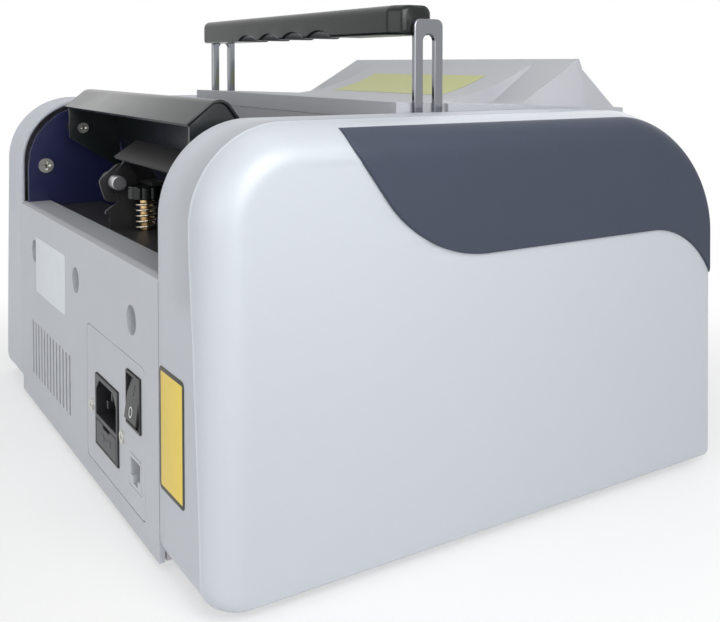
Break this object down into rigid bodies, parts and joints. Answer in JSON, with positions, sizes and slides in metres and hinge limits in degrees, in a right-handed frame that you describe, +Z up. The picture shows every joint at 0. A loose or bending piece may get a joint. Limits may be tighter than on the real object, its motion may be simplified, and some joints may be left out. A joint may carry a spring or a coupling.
{
  "type": "banknote counter",
  "caption": "Table-top banknote counter: hopper with hood, feed and impeller rollers, front stacker, sloped display head, rounded side covers and a sliding carry handle.",
  "frame": {"origin": "centre of the bounding box in X and Y, at the underside of the four feet", "axes": "+Z up; -Y towards the stacker at the front; +Y towards the mains inlet at the back; +X towards the side cover away from the inlet"},
  "size_m": [0.3528, 0.272, 0.23],
  "materials": {
    "silver": "satin light silver moulding",
    "rear_grey": "fine matt light grey",
    "grey": "satin mid grey moulding",
    "slate": "fine grained dark slate",
    "navy": "satin navy paint",
    "black_gloss": "gloss black",
    "black": "matt black",
    "hood": "gloss black paint",
    "chrome": "bright",
    "steel": "plain",
    "brass": "plain",
    "rubber": "matt",
    "blue_rubber": "matt",
    "cream": "matt cream",
    "board": "green lacquer",
    "key": "matt",
    "window": "tinted"
  },
  "bodies": {
    "machine": {"base_plate": "steel", "foot_front_left": "rubber", "foot_front_right": "rubber", "foot_rear_left": "rubber", "foot_rear_right": "rubber", "frame_left": "navy", "frame_right": "navy", "side_cover_left": "silver", "side_cover_right": "silver", "side_insert_left": "slate", "side_insert_right": "slate", "rear_cover": "rear_grey", "connector_panel": "rear_grey", "power_inlet": "black", "switch_bezel": "black", "data_jack": "black", "top_cover": "grey", "display_window": "window", "hopper_plate": "hood", "hopper_bed": "black", "drive_belt": "rubber", "pick_up_belt": "rubber", "drive_motor": "steel", "retard_pin": "steel", "mechanism_shelf": "black", "adjusting_spring": "steel", "feed_guide": "steel", "stacker_tray": "silver", "transformer": "steel", "control_board": "board"},
    "handle": {"handle_grip": "black_gloss", "handle_arm_left": "chrome", "handle_arm_right": "chrome"},
    "feed_roller": {"feed_shaft": "steel", "feed_wheel_left": "blue_rubber", "feed_wheel_right": "blue_rubber", "feed_pulley": "cream"},
    "pick_up_roller": {"pick_up_shaft": "steel", "pick_up_wheel_left": "rubber", "pick_up_wheel_right": "rubber"},
    "counting_roller": {"counting_shaft": "steel", "counting_wheel_left": "rubber", "counting_wheel_right": "rubber"},
    "impeller": {"impeller_shaft": "steel", "impeller_wheel_left": "blue_rubber", "impeller_wheel_right": "blue_rubber", "impeller_pulley": "cream"},
    "motor_rotor": {"motor_pulley": "steel"},
    "retard": {"retard_bracket": "black", "retard_block": "cream"},
    "adjuster_stem": {"adjusting_screw": "brass"},
    "adjuster_knob": {"adjusting_knob": "black_gloss"},
    "rocker": {"power_rocker": "black_gloss"},
    "fuse_holder": {"fuse_drawer": "black"},
    "guide_left": {"hopper_guide_left": "black"},
    "guide_right": {"hopper_guide_right": "black"},
    "mode_key": {"key_mode": "key"},
    "minus_key": {"key_minus": "key"},
    "plus_key": {"key_plus": "key"},
    "reset_key": {"key_reset": "key"}
  },
  "joints": [
    {"name": "handle_slide", "type": "slide", "parent": "machine", "child": "handle", "axis": [0, 0, 1], "range_m": [-0.029, 0]},
    {"name": "feed_turn", "type": "hinge", "parent": "machine", "child": "feed_roller", "pos_m": [0, 0.05, 0.101], "axis": [1, 0, 0], "continuous": true},
    {"name": "pick_up_turn", "type": "hinge", "parent": "machine", "child": "pick_up_roller", "pos_m": [0, 0.037, 0.128], "axis": [1, 0, 0], "continuous": true},
    {"name": "counting_turn", "type": "hinge", "parent": "machine", "child": "counting_roller", "pos_m": [0, 0.006, 0.084], "axis": [1, 0, 0], "continuous": true},
    {"name": "impeller_turn", "type": "hinge", "parent": "machine", "child": "impeller", "pos_m": [0, -0.046, 0.062], "axis": [1, 0, 0], "continuous": true},
    {"name": "motor_turn", "type": "hinge", "parent": "machine", "child": "motor_rotor", "pos_m": [0, 0.072, 0.027], "axis": [1, 0, 0], "continuous": true},
    {"name": "retard_tilt", "type": "hinge", "parent": "machine", "child": "retard", "pos_m": [0, 0.1105, 0.1403], "axis": [1, 0, 0], "range_deg": [-3, 0]},
    {"name": "stem_rise", "type": "slide", "parent": "machine", "child": "adjuster_stem", "axis": [0, 0, 1], "range_m": [0, 0.0006], "deforming": ["adjusting_spring"]},
    {"name": "knob_turn", "type": "hinge", "parent": "adjuster_stem", "child": "adjuster_knob", "pos_m": [0, 0.0978, 0.132], "axis": [0, 0, 1], "range_deg": [0, 300]},
    {"name": "rocker_tip", "type": "hinge", "parent": "machine", "child": "rocker", "pos_m": [-0.0926, 0.131, 0.05935], "axis": [1, 0, 0], "range_deg": [-18, 0]},
    {"name": "fuse_drawer_slide", "type": "slide", "parent": "machine", "child": "fuse_holder", "axis": [0, 1, 0], "range_m": [0, 0.012]},
    {"name": "guide_left_slide", "type": "slide", "parent": "machine", "child": "guide_left", "axis": [1, 0, 0], "range_m": [0, 0.022]},
    {"name": "guide_right_slide", "type": "slide", "parent": "machine", "child": "guide_right", "axis": [-1, 0, 0], "range_m": [0, 0.022]},
    {"name": "key_mode_press", "type": "slide", "parent": "machine", "child": "mode_key", "axis": [0, 0.6592, -0.752], "range_m": [0, 0.001], "stiffness_N_per_m": 400, "springref_m": -0.0004},
    {"name": "key_minus_press", "type": "slide", "parent": "machine", "child": "minus_key", "axis": [0, 0.6592, -0.752], "range_m": [0, 0.001], "stiffness_N_per_m": 400, "springref_m": -0.0004},
    {"name": "key_plus_press", "type": "slide", "parent": "machine", "child": "plus_key", "axis": [0, 0.6592, -0.752], "range_m": [0, 0.001], "stiffness_N_per_m": 400, "springref_m": -0.0004},
    {"name": "key_reset_press", "type": "slide", "parent": "machine", "child": "reset_key", "axis": [0, 0.6592, -0.752], "range_m": [0, 0.001], "stiffness_N_per_m": 400, "springref_m": -0.0004}
  ],
  "couplings": [
    {"joint": "pick_up_turn", "follows": "feed_turn", "ratio": 1},
    {"joint": "counting_turn", "follows": "feed_turn", "ratio": 0.92391},
    {"joint": "impeller_turn", "follows": "feed_turn", "ratio": 0.80952},
    {"joint": "motor_turn", "follows": "feed_turn", "ratio": 1.8889},
    {"joint": "guide_right_slide", "follows": "guide_left_slide", "ratio": 1},
    {"joint": "knob_turn", "follows": "stem_rise", "rad_per_m": 8720},
    {"joint": "retard_tilt", "follows": "stem_rise", "rad_per_m": -79}
  ]
}
